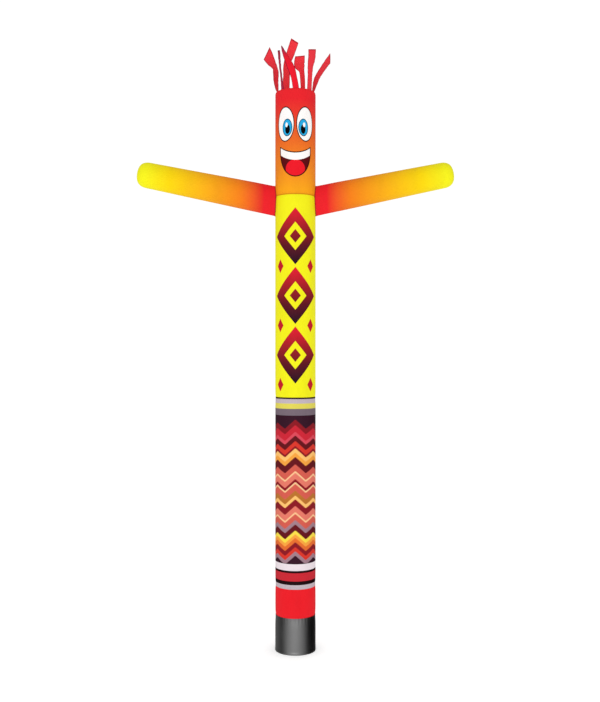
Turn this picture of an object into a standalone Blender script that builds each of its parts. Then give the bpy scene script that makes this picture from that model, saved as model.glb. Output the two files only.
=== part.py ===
"""Inflatable air dancer, standing blown up: a tall cloth tube with two arms and streamer hair.

Metres, +Z up. The origin is the centre of the base hem, on the ground. The front faces -Y.
Every cloth panel is its own thin closed solid in its blown-up shape, and the seams are laps.
"""
import math

import bmesh
import bpy
from mathutils import Vector

# Driving sizes: a tube of the 20 ft class that fits an 18 in (457 mm) blower outlet.
TUBE_HEIGHT = 6.335
OUTLET_DIAMETER = 0.457
SLEEVE_SEAM = 0.395
BAND_SEAM = 0.750
PRINT_SEAM = 2.863
HEAD_SEAM = 5.163
SEAMS = (SLEEVE_SEAM, BAND_SEAM, PRINT_SEAM, HEAD_SEAM)
LAP = 0.030
CLOTH = 0.0015
SLEEVE_CLOTH = 0.0020
HEM_CLOTH = 0.0030
HEM_HEIGHT = 0.025
SHARP_EDGE = math.radians(40)
SEAT_GAP = 0.0003

# How far the sewn seams and the top edge draw the blown-up wall in.
SEAM_DRAW = 0.003
SEAM_SPREAD = 0.060
SHOULDER_START = TUBE_HEIGHT - 0.030
SHOULDER_DRAW = 0.010

# Radii of the walls, each lapped by its neighbour with a small gap. The sleeve, the print and the
# head lap over the ends of the band and the torso, which swell to full size within one row of a lap.
TUBE_INSIDE = OUTLET_DIAMETER / 2
TUBE_OUTSIDE = TUBE_INSIDE + CLOTH
SLEEVE_OUTSIDE = TUBE_INSIDE + SLEEVE_CLOTH
HEM_OUTSIDE = TUBE_INSIDE + HEM_CLOTH
TUCKED_OUTSIDE = TUBE_INSIDE - SEAT_GAP
BODY_SIDES = 48

# Rows of points that follow the drawn-in seams, as heights from a seam, and the plain wall's spacing.
SWELL_ROW = 0.040
SEAM_ROWS = (-0.100, -SWELL_ROW, -LAP / 2, LAP / 2, SWELL_ROW, 0.100)
SHOULDER_ROWS = (0.0, 0.35, 0.62, 0.82, 0.94, 1.0)
PLAIN_SPACING = 0.55

# The crown is a plain disc of cloth that air pressure domes, sewn inside the head's top edge.
CROWN_EDGE = TUBE_HEIGHT - 0.014
CROWN_RISE = 0.013
CROWN_ROWS = 4

# The arms: tapered tubes whose axes meet on the tube's own axis. Each is sewn into an upright slot in
# the tube's side, so it is flat from front to back at its root, and swells to round further out.
ARM_MEET_HEIGHT = 5.060
ARM_TILT = math.radians(11.4)
ARM_ROOT_RADIUS = 0.168
ARM_END_RADIUS = 0.146
ARM_TAPER_START = 0.235
ARM_TUBE_END = 1.688
ARM_ROOT_FLATNESS = 0.42
ARM_SWELL_REACH = 0.34
ARM_SIDES = 32
ARM_ROW_SHARES = (0.0, 0.045, 0.09, 0.14, 0.19, 0.25, 0.49, 0.75, 1.0)
ARM_TIP_ROWS = 6
ARM_TIP_FULLNESS = 2.8
ARM_STANDOFF = 0.0008
ARM_SIGNS = {"arm_left": -1.0, "arm_right": 1.0}
ARM_HOLE_SPAN = (0.05, 0.40)

# The streamers stand in the groove between the crown and the head's top edge.
STREAMER_RING = 0.211
STREAMER_CLOTH = 0.0012
STREAMER_STEPS_A_SPAN = 3
STREAMER_ACROSS = 4
STREAMER_RIM_HOLD = 0.012
SLANT_START = 0.65

# angle: place round the rim from the front, in degrees. root: the gathered width at the rim.
# slant: how far the cut end's leading corner runs on, as a share of the width.
# Streamer 1 is the leftmost seen from the front, and 7 the rightmost.
STREAMER_PLACES = {
    1: {"angle": -103.0, "root": 0.060, "slant": -0.75},
    2: {"angle": -43.0, "root": 0.046, "slant": -0.32},
    3: {"angle": -148.0, "root": 0.096, "slant": 0.10},
    4: {"angle": 1.2, "root": 0.070, "slant": 0.0},
    5: {"angle": 155.0, "root": 0.056, "slant": -0.17},
    6: {"angle": 49.5, "root": 0.079, "slant": 0.20},
    7: {"angle": 103.0, "root": 0.060, "slant": 0.90},
}

# rise: height over the tube's top edge. sway: shift along +X. lean: shift along +Y.
# turn: twist about the strip's own run, in degrees. width: across the strip. cup: depth of its curve.
STREAMER_COLUMNS = ("rise", "sway", "lean", "turn", "width", "cup")
STREAMER_ROWS = {
    1: ((0.066, -0.012, 0.000, -17.0, 0.078, 0.005),
        (0.155, -0.024, 0.000, -19.0, 0.102, 0.007),
        (0.237, -0.0255, 0.000, -21.0, 0.109, 0.008),
        (0.287, -0.030, 0.000, -24.0, 0.112, 0.008),
        (0.369, -0.0745, -0.010, -48.0, 0.122, 0.007),
        (0.466, -0.124, -0.020, -77.0, 0.124, 0.005)),
    2: ((0.045, -0.008, 0.000, -20.0, 0.056, 0.003),
        (0.142, -0.019, 0.010, -33.0, 0.080, 0.005),
        (0.291, -0.036, 0.020, -33.5, 0.092, 0.006),
        (0.448, -0.047, 0.024, -30.0, 0.098, 0.004)),
    3: ((0.127, -0.001, 0.000, 2.0, 0.098, 0.006),
        (0.243, 0.002, 0.000, 8.0, 0.100, 0.009),
        (0.376, 0.006, -0.020, 10.0, 0.102, 0.009),
        (0.538, 0.0635, -0.040, 2.0, 0.112, 0.006),
        (0.644, 0.103, -0.060, 0.0, 0.110, 0.004)),
    4: ((0.136, -0.021, 0.004, 12.0, 0.072, 0.006),
        (0.261, -0.0595, 0.012, 26.0, 0.098, 0.008),
        (0.401, -0.123, 0.030, 32.0, 0.062, 0.006),
        (0.488, -0.160, 0.045, 34.0, 0.012, 0.001)),
    5: ((0.129, 0.000, 0.000, 2.0, 0.058, 0.010),
        (0.240, -0.005, 0.000, 5.0, 0.061, 0.012),
        (0.312, -0.015, -0.004, 8.0, 0.066, 0.010),
        (0.352, -0.029, -0.010, 13.0, 0.106, 0.008),
        (0.390, -0.044, -0.018, 18.0, 0.125, 0.006),
        (0.477, -0.038, -0.040, 25.0, 0.110, 0.004)),
    6: ((0.147, 0.008, 0.008, 0.0, 0.078, 0.007),
        (0.273, 0.016, 0.018, -2.0, 0.091, 0.010),
        (0.377, 0.030, 0.026, -11.0, 0.102, 0.008),
        (0.468, 0.031, 0.028, -14.0, 0.105, 0.004)),
    7: ((0.052, 0.007, 0.000, 14.0, 0.080, 0.004),
        (0.178, 0.044, 0.000, 30.0, 0.102, 0.008),
        (0.264, 0.096, -0.005, 33.0, 0.110, 0.009),
        (0.338, 0.146, -0.015, 33.0, 0.112, 0.008),
        (0.405, 0.194, -0.030, 34.0, 0.112, 0.005)),
}


def clear_scene():
    """Start from an empty scene."""
    for thing in list(bpy.data.objects):
        bpy.data.objects.remove(thing, do_unlink=True)


def cloth_material(name, color, roughness):
    """A plain cloth material with the panel's main colour."""
    material = bpy.data.materials.new(name)
    material.use_nodes = True
    shader = material.node_tree.nodes["Principled BSDF"]
    shader.inputs["Base Color"].default_value = (*color, 1.0)
    shader.inputs["Roughness"].default_value = roughness
    shader.inputs["Metallic"].default_value = 0.0
    material.diffuse_color = (*color, 1.0)
    return material


def add_object(name, mesh_data, material, parent):
    """Make a smooth-shaded object out of a bmesh, with its material and its parent."""
    mesh = bpy.data.meshes.new(name)
    mesh_data.to_mesh(mesh)
    mesh_data.free()
    mesh.shade_smooth()
    mesh.set_sharp_from_angle(angle=SHARP_EDGE)
    mesh.materials.append(material)
    thing = bpy.data.objects.new(name, mesh)
    bpy.context.collection.objects.link(thing)
    thing.parent = parent
    return thing


def bridge(mesh_data, first, second):
    """Quads between two closed rings of the same number of points."""
    count = len(first)
    for step in range(count):
        ahead = (step + 1) % count
        mesh_data.faces.new((first[step], first[ahead], second[ahead], second[step]))


def ring_at(mesh_data, radius, height):
    """One ring of the body's points round the vertical axis."""
    ring = []
    for step in range(BODY_SIDES):
        angle = 2 * math.pi * step / BODY_SIDES
        place = (radius * math.cos(angle), radius * math.sin(angle), height)
        ring.append(mesh_data.verts.new(place))
    return ring


def wall_draw(height):
    """How far the blown-up wall is drawn in at this height."""
    draw = 0.0
    for seam in SEAMS:
        draw += SEAM_DRAW * math.exp(-((height - seam) / SEAM_SPREAD) ** 2)
    if height > SHOULDER_START:
        lift = (height - SHOULDER_START) / (TUBE_HEIGHT - SHOULDER_START)
        draw += SHOULDER_DRAW * (1.0 - math.sqrt(max(0.0, 1.0 - lift * lift)))
    return draw


def wall_heights(low, high, extra=()):
    """Heights of the wall's rows: at the seams, at the top edge, and evenly between them."""
    heights = {low, high, *extra}
    for seam in SEAMS:
        heights.update(seam + offset for offset in SEAM_ROWS)
    heights.update(SHOULDER_START + (TUBE_HEIGHT - SHOULDER_START) * share for share in SHOULDER_ROWS)
    kept = sorted(height for height in heights if low <= height <= high)
    filled = []
    for below, above in zip(kept, kept[1:]):
        parts = max(1, math.ceil((above - below) / PLAIN_SPACING))
        filled.extend(below + (above - below) * part / parts for part in range(parts))
    filled.append(kept[-1])
    return filled


def tube_wall(name, low, high, inside, outside, material, parent, extra=()):
    """A tube of cloth, open at both ends: up the outer side, then down the inner side."""
    heights = wall_heights(low, high, extra)
    mesh_data = bmesh.new()
    outer = [ring_at(mesh_data, outside(height) - wall_draw(height), height) for height in heights]
    inner = [ring_at(mesh_data, inside(height) - wall_draw(height), height) for height in heights]
    rings = outer + inner[::-1]
    for first, second in zip(rings, rings[1:] + rings[:1]):
        bridge(mesh_data, first, second)
    return add_object(name, mesh_data, material, parent)


def crown_height(radius):
    """Height of the domed crown's upper side at a distance from the axis."""
    return CROWN_EDGE + CROWN_RISE * (1.0 - (radius / crown_radius()) ** 2)


def crown_radius():
    """Radius of the crown's edge, just inside the head's top edge."""
    return TUBE_INSIDE - wall_draw(CROWN_EDGE) - SEAT_GAP


def crown(material, parent):
    """The domed disc that closes the top of the tube."""
    mesh_data = bmesh.new()
    sides = {}
    for side, drop in (("upper", 0.0), ("under", CLOTH)):
        rings = []
        for row in range(CROWN_ROWS):
            radius = crown_radius() * (1.0 - row / CROWN_ROWS)
            rings.append(ring_at(mesh_data, radius, crown_height(radius) - drop))
        pole = mesh_data.verts.new((0.0, 0.0, crown_height(0.0) - drop))
        sides[side] = (rings, pole)
    for side, (rings, pole) in sides.items():
        flip = side == "under"
        for first, second in zip(rings, rings[1:]):
            bridge(mesh_data, *((second, first) if flip else (first, second)))
        last = rings[-1]
        for step in range(BODY_SIDES):
            ahead = (step + 1) % BODY_SIDES
            pair = (last[ahead], last[step]) if flip else (last[step], last[ahead])
            mesh_data.faces.new((*pair, pole))
    bridge(mesh_data, sides["under"][0][0], sides["upper"][0][0])
    return add_object("crown", mesh_data, material, parent)


def arm_radius(along):
    """Outer radius of an arm at a distance along its axis from the tube's axis."""
    share = (along - ARM_TAPER_START) / (ARM_TUBE_END - ARM_TAPER_START)
    return ARM_ROOT_RADIUS + (ARM_END_RADIUS - ARM_ROOT_RADIUS) * share


def arm_flatness(along):
    """The arm's depth from front to back as a share of its height, at a distance along its axis."""
    share = min(1.0, max(0.0, (along - ARM_TAPER_START) / ARM_SWELL_REACH))
    return ARM_ROOT_FLATNESS + (1.0 - ARM_ROOT_FLATNESS) * share * share * (3.0 - 2.0 * share)


def arm_point(along, radius, depth, turn, sign):
    """A point on an arm: along its axis, and round it from the +Y side upwards."""
    side = depth * math.cos(turn)
    lift = radius * math.sin(turn)
    reach = along * math.cos(ARM_TILT) - lift * math.sin(ARM_TILT)
    height = ARM_MEET_HEIGHT + along * math.sin(ARM_TILT) + lift * math.cos(ARM_TILT)
    return Vector((sign * reach, side, height))


def arm_root(turn, inset):
    """Where the arm's wall meets the tube's round wall, along the arm's axis."""
    seat = TUBE_OUTSIDE + ARM_STANDOFF
    depth = ARM_ROOT_RADIUS * ARM_ROOT_FLATNESS - inset
    lift = (ARM_ROOT_RADIUS - inset) * math.sin(turn)
    reach = math.sqrt(seat ** 2 - (depth * math.cos(turn)) ** 2)
    return (reach + lift * math.sin(ARM_TILT)) / math.cos(ARM_TILT)


def arm_side(mesh_data, sign, inset):
    """Rings of one side of an arm's wall, from its open root to its round tip, and the tip's pole."""
    turns = [2 * math.pi * step / ARM_SIDES for step in range(ARM_SIDES)]
    rings = []
    for share in ARM_ROW_SHARES:
        ring = []
        for turn in turns:
            along = arm_root(turn, inset) * (1.0 - share) + ARM_TUBE_END * share
            radius = arm_radius(along)
            depth = radius * arm_flatness(along)
            place = arm_point(along, radius - inset, depth - inset, turn, sign)
            ring.append(mesh_data.verts.new(place))
        rings.append(ring)
    end_radius = ARM_END_RADIUS - inset
    for row in range(1, ARM_TIP_ROWS):
        reach = math.sin(math.pi / 2 * row / ARM_TIP_ROWS)
        radius = end_radius * (1.0 - reach ** ARM_TIP_FULLNESS) ** (1.0 / ARM_TIP_FULLNESS)
        along = ARM_TUBE_END + end_radius * reach
        places = [arm_point(along, radius, radius, turn, sign) for turn in turns]
        rings.append([mesh_data.verts.new(place) for place in places])
    pole = mesh_data.verts.new(arm_point(ARM_TUBE_END + end_radius, 0.0, 0.0, 0.0, sign))
    return rings, pole


def arm(name, material, parent):
    """A hollow arm, open where it meets the tube and closed by a round tip."""
    sign = ARM_SIGNS[name]
    mesh_data = bmesh.new()
    outer, outer_pole = arm_side(mesh_data, sign, 0.0)
    inner, inner_pole = arm_side(mesh_data, sign, CLOTH)
    for rings, pole, flip in ((outer, outer_pole, False), (inner, inner_pole, True)):
        for first, second in zip(rings, rings[1:]):
            bridge(mesh_data, *((second, first) if flip else (first, second)))
        last = rings[-1]
        for step in range(ARM_SIDES):
            ahead = (step + 1) % ARM_SIDES
            pair = (last[ahead], last[step]) if flip else (last[step], last[ahead])
            mesh_data.faces.new((*pair, pole))
    bridge(mesh_data, inner[0], outer[0])
    bmesh.ops.recalc_face_normals(mesh_data, faces=mesh_data.faces)
    return add_object(name, mesh_data, material, parent)


def arm_hole_cutter(name, parent):
    """A guide that cuts the tube's walls along the inside of an arm."""
    sign = ARM_SIGNS[name]
    radius = ARM_ROOT_RADIUS - CLOTH
    depth = ARM_ROOT_RADIUS * ARM_ROOT_FLATNESS - CLOTH
    mesh_data = bmesh.new()
    ends = []
    for along in ARM_HOLE_SPAN:
        ring = []
        for step in range(ARM_SIDES):
            turn = 2 * math.pi * step / ARM_SIDES
            ring.append(mesh_data.verts.new(arm_point(along, radius, depth, turn, sign)))
        ends.append(ring)
    bridge(mesh_data, *ends)
    mesh_data.faces.new(ends[0])
    mesh_data.faces.new(ends[1])
    bmesh.ops.recalc_face_normals(mesh_data, faces=mesh_data.faces)
    mesh = bpy.data.meshes.new(name + "_hole_cutter")
    mesh_data.to_mesh(mesh)
    mesh_data.free()
    cutter = bpy.data.objects.new(name + "_hole_cutter", mesh)
    bpy.context.collection.objects.link(cutter)
    cutter.parent = parent
    cutter.hide_render = True
    cutter.display_type = "WIRE"
    return cutter


def cut_with(thing, cutters):
    """Cut each cutter's shape out of a wall."""
    for cutter in cutters:
        modifier = thing.modifiers.new(cutter.name, "BOOLEAN")
        modifier.operation = "DIFFERENCE"
        modifier.solver = "EXACT"
        modifier.object = cutter


def smooth_between(before, start, end, after, share):
    """A smooth curve through named values: from start to end, with their neighbours' slopes."""
    blend = {}
    for column in STREAMER_COLUMNS:
        a, b, c, d = before[column], start[column], end[column], after[column]
        blend[column] = b + 0.5 * share * (
            c - a + share * (2 * a - 5 * b + 4 * c - d + share * (3 * (b - c) + d - a)))
    return blend


def streamer_run(number):
    """The streamer's rows from root to end, smoothed between the rows of its table."""
    width = STREAMER_PLACES[number]["root"]
    root_rise = crown_height(STREAMER_RING - STREAMER_CLOTH) + SEAT_GAP - TUBE_HEIGHT
    root_cup = width ** 2 / (8 * STREAMER_RING)
    root = dict(zip(STREAMER_COLUMNS, (root_rise, 0.0, 0.0, 0.0, width, root_cup)))
    rim = dict(root, rise=STREAMER_RIM_HOLD)
    knots = [root, rim] + [dict(zip(STREAMER_COLUMNS, row)) for row in STREAMER_ROWS[number]]
    padded = [knots[0]] + knots + [knots[-1]]
    run = [root]
    for index in range(1, len(knots)):
        before, start, end, after = padded[index - 1:index + 3]
        steps = 1 if index == 1 else STREAMER_STEPS_A_SPAN
        for step in range(1, steps + 1):
            run.append(smooth_between(before, start, end, after, step / steps))
    run[1] = rim
    return run


def streamer(number, material, parent):
    """One thin strip of cloth that stands up from the rim, twists, and bends over."""
    angle = math.radians(STREAMER_PLACES[number]["angle"])
    slant = STREAMER_PLACES[number]["slant"]
    foot = Vector((STREAMER_RING * math.sin(angle), -STREAMER_RING * math.cos(angle), TUBE_HEIGHT))
    run = streamer_run(number)
    centres = [foot + Vector((row["sway"], row["lean"], row["rise"])) for row in run]
    length = sum((b - a).length for a, b in zip(centres, centres[1:]))
    mesh_data = bmesh.new()
    rings = []
    travelled = 0.0
    for index, row in enumerate(run):
        ahead = centres[min(index + 1, len(run) - 1)]
        behind = centres[max(index - 1, 0)]
        run_way = Vector((0.0, 0.0, 1.0)) if index == 0 else (ahead - behind).normalized()
        facing = angle + math.radians(row["turn"])
        across = Vector((math.cos(facing), math.sin(facing), 0.0))
        across = (across - run_way * across.dot(run_way)).normalized()
        outward = across.cross(run_way)
        if index:
            travelled += (centres[index] - centres[index - 1]).length
        cut = max(0.0, (travelled / length - SLANT_START) / (1.0 - SLANT_START))
        front = []
        back = []
        for step in range(STREAMER_ACROSS + 1):
            share = step / STREAMER_ACROSS - 0.5
            middle = centres[index] + across * share * row["width"]
            middle -= outward * row["cup"] * 4 * share * share
            middle += run_way * slant * share * row["width"] * cut
            front.append(mesh_data.verts.new(middle + outward * STREAMER_CLOTH / 2))
            back.append(mesh_data.verts.new(middle - outward * STREAMER_CLOTH / 2))
        rings.append(front + back[::-1])
    for first, second in zip(rings, rings[1:]):
        bridge(mesh_data, first, second)
    for ring in (rings[0], rings[-1]):
        for step in range(STREAMER_ACROSS):
            mesh_data.faces.new((ring[step], ring[step + 1], ring[-2 - step], ring[-1 - step]))
    bmesh.ops.recalc_face_normals(mesh_data, faces=mesh_data.faces)
    return add_object(f"streamer_{number}", mesh_data, material, parent)


def sleeve_outside(height):
    """Outer radius of the sleeve: its folded hem is a little thicker."""
    return HEM_OUTSIDE if height <= HEM_HEIGHT else SLEEVE_OUTSIDE


def tucked_outside(height):
    """Outer radius of a panel whose two ends tuck inside its neighbours: smaller at the seams."""
    from_seam = min(abs(height - seam) for seam in SEAMS)
    swell = (from_seam - LAP / 2) / (SWELL_ROW - LAP / 2)
    return TUCKED_OUTSIDE + (TUBE_OUTSIDE - TUCKED_OUTSIDE) * min(1.0, max(0.0, swell))


def tucked_panel(name, low_seam, high_seam, material, parent):
    """A tube panel whose ends tuck inside the panels below and above it."""
    return tube_wall(name, low_seam - LAP / 2, high_seam + LAP / 2,
                     lambda height: tucked_outside(height) - CLOTH, tucked_outside, material, parent)


def lapping_panel(name, low, high, material, parent, extra=()):
    """A tube panel of full size, whose ends lap over its neighbours."""
    return tube_wall(name, low, high, lambda height: TUBE_INSIDE, lambda height: TUBE_OUTSIDE,
                     material, parent, extra)


def build():
    """Make the whole dancer."""
    clear_scene()
    stand = bpy.data.objects.new("dancer_base", None)
    bpy.context.collection.objects.link(stand)

    black = cloth_material("sleeve_black", (0.045, 0.045, 0.047), 0.55)
    scarlet = cloth_material("band_scarlet", (0.82, 0.02, 0.03), 0.60)
    wine = cloth_material("print_wine", (0.45, 0.08, 0.08), 0.60)
    yellow = cloth_material("torso_yellow", (0.93, 0.85, 0.02), 0.60)
    orange = cloth_material("head_orange", (0.86, 0.20, 0.03), 0.60)
    amber = cloth_material("arm_amber", (0.92, 0.48, 0.02), 0.60)
    red = cloth_material("hair_red", (0.80, 0.03, 0.04), 0.60)

    cutters = [arm_hole_cutter(name, stand) for name in ARM_SIGNS]
    tube_wall("base_sleeve", 0.0, SLEEVE_SEAM + LAP / 2, lambda height: TUBE_INSIDE,
              sleeve_outside, black, stand, extra=(HEM_HEIGHT, HEM_HEIGHT + HEM_CLOTH))
    tucked_panel("red_band", SLEEVE_SEAM, BAND_SEAM, scarlet, stand)
    lapping_panel("print_panel", BAND_SEAM - LAP / 2, PRINT_SEAM + LAP / 2, wine, stand)
    torso = tucked_panel("torso_panel", PRINT_SEAM, HEAD_SEAM, yellow, stand)
    head = lapping_panel("head_panel", HEAD_SEAM - LAP / 2, TUBE_HEIGHT, orange, stand,
                         extra=(CROWN_EDGE,))
    cut_with(torso, cutters)
    cut_with(head, cutters)
    crown(red, stand)
    for name in ARM_SIGNS:
        arm(name, amber, stand)
    for number in STREAMER_PLACES:
        streamer(number, red, stand)


build()
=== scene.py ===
"""Looks of the inflatable air dancer: each cloth panel as a fine printed sheet in its blown-up shape.

Metres, +Z up, in the frame's own coordinates. The printed face looks along -Y.
"""
import math
from collections import namedtuple
from functools import partialmethod

import bmesh
import bpy
import numpy as np
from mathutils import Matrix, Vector


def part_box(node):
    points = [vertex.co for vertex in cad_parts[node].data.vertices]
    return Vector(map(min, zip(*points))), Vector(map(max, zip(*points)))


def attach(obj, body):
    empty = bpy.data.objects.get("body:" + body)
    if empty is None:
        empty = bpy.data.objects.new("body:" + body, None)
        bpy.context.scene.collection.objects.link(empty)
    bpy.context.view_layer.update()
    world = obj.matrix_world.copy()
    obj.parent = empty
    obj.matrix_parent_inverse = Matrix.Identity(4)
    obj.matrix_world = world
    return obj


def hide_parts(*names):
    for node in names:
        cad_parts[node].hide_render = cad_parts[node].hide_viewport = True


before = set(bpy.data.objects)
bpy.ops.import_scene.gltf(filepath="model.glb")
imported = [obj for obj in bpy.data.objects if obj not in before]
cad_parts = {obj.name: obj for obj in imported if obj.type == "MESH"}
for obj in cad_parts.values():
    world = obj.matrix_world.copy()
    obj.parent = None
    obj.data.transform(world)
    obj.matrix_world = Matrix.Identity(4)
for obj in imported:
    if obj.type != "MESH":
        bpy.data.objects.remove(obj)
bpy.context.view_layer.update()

# Sizes of the tube's panels, read from the frame, and the middles of the seams between them.
SLEEVE_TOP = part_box("base_sleeve")[1].z
BAND_LOW, BAND_TOP = (corner.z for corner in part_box("red_band"))
PRINT_LOW, PRINT_TOP = (corner.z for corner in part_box("print_panel"))
TORSO_LOW, TORSO_TOP = (corner.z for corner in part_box("torso_panel"))
HEAD_LOW, TUBE_TOP = (corner.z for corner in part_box("head_panel"))
CROWN_LOW, CROWN_TOP = (corner.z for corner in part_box("crown"))
TUBE_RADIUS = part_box("head_panel")[1].x
CROWN_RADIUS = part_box("crown")[1].x
SLEEVE_SEAM = (BAND_LOW + SLEEVE_TOP) / 2
BAND_SEAM = (PRINT_LOW + BAND_TOP) / 2
PRINT_SEAM = (TORSO_LOW + PRINT_TOP) / 2
HEAD_SEAM = (HEAD_LOW + TORSO_TOP) / 2
SEAMS = (SLEEVE_SEAM, BAND_SEAM, PRINT_SEAM, HEAD_SEAM)
HALF_LAP = SLEEVE_TOP - SLEEVE_SEAM

# The cloth's thickness, the sleeve's and its hem's, and the walls' radii where one panel laps another.
CLOTH = 0.0015
SLEEVE_CLOTH = 0.0020
HEM_CLOTH = 0.0030
SEAT_GAP = 0.0003
SLEEVE_INSIDE = TUBE_RADIUS - CLOTH
TUCKED_OUTSIDE = SLEEVE_INSIDE - SEAT_GAP
SWELL_ROW = 0.040

# The sleeve's folded hem: its height, the step at its top, and its round lower edge.
HEM_HEIGHT = 0.025
HEM_STEP = 0.002
HEM_ROUND = 0.0015
HEM_ROUND_DEPTH = 0.6
HEM_ROWS = (0.0, 0.3 * HEM_ROUND, HEM_ROUND, HEM_HEIGHT, HEM_HEIGHT + HEM_STEP)

# How far the sewn seams and the top edge draw the blown-up wall in.
SEAM_DRAW = 0.003
SEAM_SPREAD = 0.060
SHOULDER_HEIGHT = 0.030
SHOULDER_DRAW = 0.010
SHOULDER_ROWS = 9

# Puckers: how many go round a seam, their depth and reach, and over how far from the seam they
# deepen. WALL_PUCKERS lie round an arm's root. And how deep the blown-up wall's slow billows are.
TUBE_PUCKERS = (36, 0.0030, 0.045, 0.0)
WALL_PUCKERS = (25, 0.0035, 0.060, 0.025)
ARM_PUCKERS = (25, 0.0035, 0.060, 0.020)
TIP_PUCKERS = (21, 0.0015, 0.050, 0.0)
CROWN_PUCKERS = (36, 0.0016, 0.030, 0.010)
BILLOW_DEPTH = 0.0010

# The felled seam that closes each tube along its back.
BACK_SEAM_HALF = 0.007
BACK_SEAM_RISE = 0.0008
BACK_SEAM_EDGE = 0.0010

# The nets of points that the walls are made of. The gap is the least between two columns, in radians.
TUBE_COLUMNS = 240
ARM_COLUMNS = 144
COLUMN_GAP = 0.003
FINE_ROW = 0.008
COARSE_ROW = 0.050
ROW_GROWTH = 0.10
SHARP_EDGE = math.radians(40)
CROWN_RINGS = (1.0, 0.985, 0.97, 0.95, 0.92, 0.88, 0.82, 0.74, 0.62, 0.48, 0.32, 0.16)

# The arms: tapered tubes whose axes meet on the tube's own axis. Each is flat from front to back
# where it is sewn into the tube's side, and swells to round further out.
ARM_MEET_HEIGHT = 5.060
ARM_TILT = math.radians(11.4)
ARM_COS, ARM_SIN = math.cos(ARM_TILT), math.sin(ARM_TILT)
ARM_ROOT_RADIUS = 0.168
ARM_END_RADIUS = 0.146
ARM_TAPER_START = 0.235
ARM_TUBE_END = 1.688
ARM_TIP_FULLNESS = 2.8
ARM_TIP_ROWS = 16
ARM_ROOT_FLATNESS = 0.42
ARM_SWELL_REACH = 0.34
ARM_FLARE = 0.004
ARM_FLARE_REACH = 0.007
ARM_SIGNS = {"arm_left": -1.0, "arm_right": 1.0}
ARM_SEED = 0.4
ARM_HOLE_SPAN = (0.05, 0.40)
ARM_HOLE_MARGIN = 2 * CLOTH

# The heights of the arm roots' lower and upper ends, where the tube's rows are close together, and
# how often an arm's place against the tube's wall is refined.
ARM_ROOT_ENDS = (ARM_MEET_HEIGHT - 0.12, ARM_MEET_HEIGHT + 0.22)
ARM_ROOT_PASSES = 4

# Thread: a lockstitch's length, pitch and thickness, how far a row lies from a seam's middle or from
# an edge, and how far apart the points are that a row follows.
STITCH_LENGTH = 0.0038
STITCH_PITCH = 0.0052
STITCH_WIDTH = 0.0010
STITCH_OFFSET = 0.009
BACK_STITCH_OFFSET = 0.005
HEM_STITCH_DROP = 0.004
CROWN_STITCH_DROP = 0.014
BACK_STITCH_END = 0.02
ARM_STITCH_START = 0.03
STITCH_SAMPLING = 0.01
THREADS = {"sleeve": (70, 70, 74), "band": (170, 22, 30), "zigzag": (150, 60, 50), "torso": (190, 120, 24),
           "head": (150, 40, 20), "amber": (196, 92, 22)}

# The streamers, as the frame has them. Their ripples run along the edges, unevenly, and differ from
# one streamer to the next.
STREAMER_RING = 0.211
STREAMER_CLOTH = 0.0012
STREAMER_RIM_HOLD = 0.012
STREAMER_RIM_STEPS = 2
STREAMER_STEPS_A_SPAN = 14
STREAMER_ACROSS = 14
SLANT_START = 0.65
RIPPLE_DEPTH = 0.0014
RIPPLE_LENGTH = 0.070
RIPPLE_UNEVENNESS = 1.8
RIPPLE_WANDER = 0.37
RIPPLE_SHIFT = 2.3
RIPPLE_SKEW = 3.0

# angle: place round the rim from the front, in degrees. root: the gathered width at the rim.
# slant: how far the cut end's leading corner runs on, as a share of the width.
Place = namedtuple("Place", "angle root slant")
STREAMER_PLACES = {
    1: Place(-103.0, 0.060, -0.75),
    2: Place(-43.0, 0.046, -0.32),
    3: Place(-148.0, 0.096, 0.10),
    4: Place(1.2, 0.070, 0.0),
    5: Place(155.0, 0.056, -0.17),
    6: Place(49.5, 0.079, 0.20),
    7: Place(103.0, 0.060, 0.90),
}

# rise: height over the tube's top edge. sway: shift along +X. lean: shift along +Y.
# turn: twist about the strip's own run, in degrees. width: across the strip. cup: depth of its curve.
# The table's lengths are in millimetres. ROW_UNITS turns them into metres, and leaves the degrees.
Row = namedtuple("Row", "rise sway lean turn width cup")
ROW_UNITS = Row(1000, 1000, 1000, 1, 1000, 1000)
STREAMER_ROWS = {
    1: ((66, -12, 0, -17, 78, 5), (155, -24, 0, -19, 102, 7), (237, -25.5, 0, -21, 109, 8),
        (287, -30, 0, -24, 112, 8), (369, -74.5, -10, -48, 122, 7), (466, -124, -20, -77, 124, 5)),
    2: ((45, -8, 0, -20, 56, 3), (142, -19, 10, -33, 80, 5), (291, -36, 20, -33.5, 92, 6),
        (448, -47, 24, -30, 98, 4)),
    3: ((127, -1, 0, 2, 98, 6), (243, 2, 0, 8, 100, 9), (376, 6, -20, 10, 102, 9),
        (538, 63.5, -40, 2, 112, 6), (644, 103, -60, 0, 110, 4)),
    4: ((136, -21, 4, 12, 72, 6), (261, -59.5, 12, 26, 98, 8), (401, -123, 30, 32, 62, 6),
        (488, -160, 45, 34, 12, 1)),
    5: ((129, 0, 0, 2, 58, 10), (240, -5, 0, 5, 61, 12), (312, -15, -4, 8, 66, 10),
        (352, -29, -10, 13, 106, 8), (390, -44, -18, 18, 125, 6), (477, -38, -40, 25, 110, 4)),
    6: ((147, 8, 8, 0, 78, 7), (273, 16, 18, -2, 91, 10), (377, 30, 26, -11, 102, 8),
        (468, 31, 28, -14, 105, 4)),
    7: ((52, 7, 0, 14, 80, 4), (178, 44, 0, 30, 102, 8), (264, 96, -5, 33, 110, 9),
        (338, 146, -15, 33, 112, 8), (405, 194, -30, 34, 112, 5)),
}

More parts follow.
